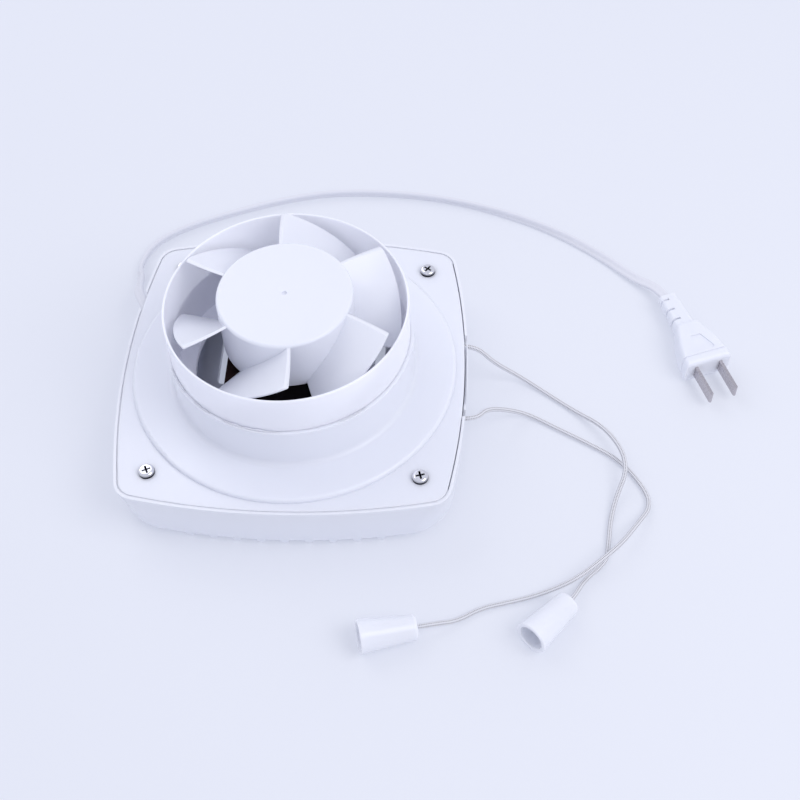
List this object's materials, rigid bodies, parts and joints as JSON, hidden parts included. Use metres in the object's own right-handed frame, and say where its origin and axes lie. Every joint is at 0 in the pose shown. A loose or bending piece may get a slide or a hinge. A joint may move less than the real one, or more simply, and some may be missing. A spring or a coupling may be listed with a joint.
{
  "type": "bathroom extractor fan",
  "caption": "Axial extractor fan in a bowed square plastic housing, with a round duct spigot, a shutter worked by pull cords with bells, and a mains cord with a plug.",
  "frame": {"origin": "centre of the fan on the surface that it lies on, face down on the bars of its grille", "axes": "+Z along the duct, away from the grille; +X towards the side where the pull cords come out"},
  "size_m": [0.3053, 0.2805, 0.0817],
  "materials": {
    "housing_white": "satin moulding",
    "impeller_white": "satin moulding",
    "bell_white": "gloss",
    "cord_white": "satin",
    "plug_white": "satin",
    "braid_white": "braided",
    "zinc": "zinc plated",
    "pin_plate": "nickel plated",
    "lamination_steel": "varnished",
    "steel": "plain",
    "bronze": "sintered",
    "copper": "plain",
    "nylon": "matt",
    "bobbin_brown": "matt",
    "winding_tape": "taped",
    "switch_black": "matt",
    "wire_brown": "insulation",
    "wire_blue": "insulation"
  },
  "bodies": {
    "housing": {"front_cover": "housing_white", "rear_plate": "housing_white", "duct_sleeve": "housing_white", "corner_screws": "zinc", "stator_laminations": "lamination_steel", "shading_rings": "copper", "coil_bobbin": "bobbin_brown", "stator_winding": "winding_tape", "upper_bearing_bracket": "steel", "lower_bearing_bracket": "steel", "shaft_bearings": "bronze", "motor_screws": "zinc", "rocker_pin": "steel", "switch_body": "switch_black", "terminal_block": "nylon", "terminal_screws": "zinc", "cable_tie": "nylon", "power_cord": "cord_white", "plug_body": "plug_white", "plug_pins": "pin_plate", "wire_live_in": "wire_brown", "wire_neutral_in": "wire_blue", "wire_live_to_switch": "wire_brown", "wire_switch_to_coil": "wire_brown", "wire_neutral_to_coil": "wire_blue"},
    "impeller": {"impeller": "impeller_white", "motor_shaft": "steel", "rotor": "lamination_steel", "thrust_washers": "nylon"},
    "rocker": {"rocker_lever": "nylon"},
    "shutter": {"shutter_plate": "housing_white"},
    "plunger": {"switch_plunger": "nylon"},
    "pull_a": {"pull_cord_a": "braid_white", "inner_knot_a": "braid_white", "end_knot_a": "braid_white", "pull_bell_a": "bell_white"},
    "pull_b": {"pull_cord_b": "braid_white", "inner_knot_b": "braid_white", "end_knot_b": "braid_white", "pull_bell_b": "bell_white"}
  },
  "joints": [
    {"name": "impeller_spin", "type": "hinge", "parent": "housing", "child": "impeller", "pos_m": [0, 0, 0.06], "axis": [0, 0, 1], "continuous": true},
    {"name": "rocker_pivot", "type": "hinge", "parent": "housing", "child": "rocker", "pos_m": [0.066, -0.00325, 0.0237], "axis": [0, 0, -1], "range_deg": [0, 10.2]},
    {"name": "shutter_slide", "type": "slide", "parent": "housing", "child": "shutter", "axis": [1, 0, 0], "range_m": [0, 0.0056]},
    {"name": "pull_a_slide", "type": "slide", "parent": "housing", "child": "pull_a", "axis": [1, 0, 0], "range_m": [0, 0.0039]},
    {"name": "pull_b_slide", "type": "slide", "parent": "housing", "child": "pull_b", "axis": [-1, 0, 0], "range_m": [0, 0.0039]},
    {"name": "plunger_slide", "type": "slide", "parent": "housing", "child": "plunger", "axis": [-1, 0, 0], "range_m": [0, 0.0025]}
  ],
  "couplings": [
    {"joint": "shutter_slide", "follows": "rocker_pivot", "m_per_rad": 0.0307},
    {"joint": "pull_a_slide", "follows": "rocker_pivot", "m_per_rad": 0.0211},
    {"joint": "pull_b_slide", "follows": "rocker_pivot", "m_per_rad": 0.0211},
    {"joint": "plunger_slide", "follows": "rocker_pivot", "m_per_rad": 0.0135}
  ]
}
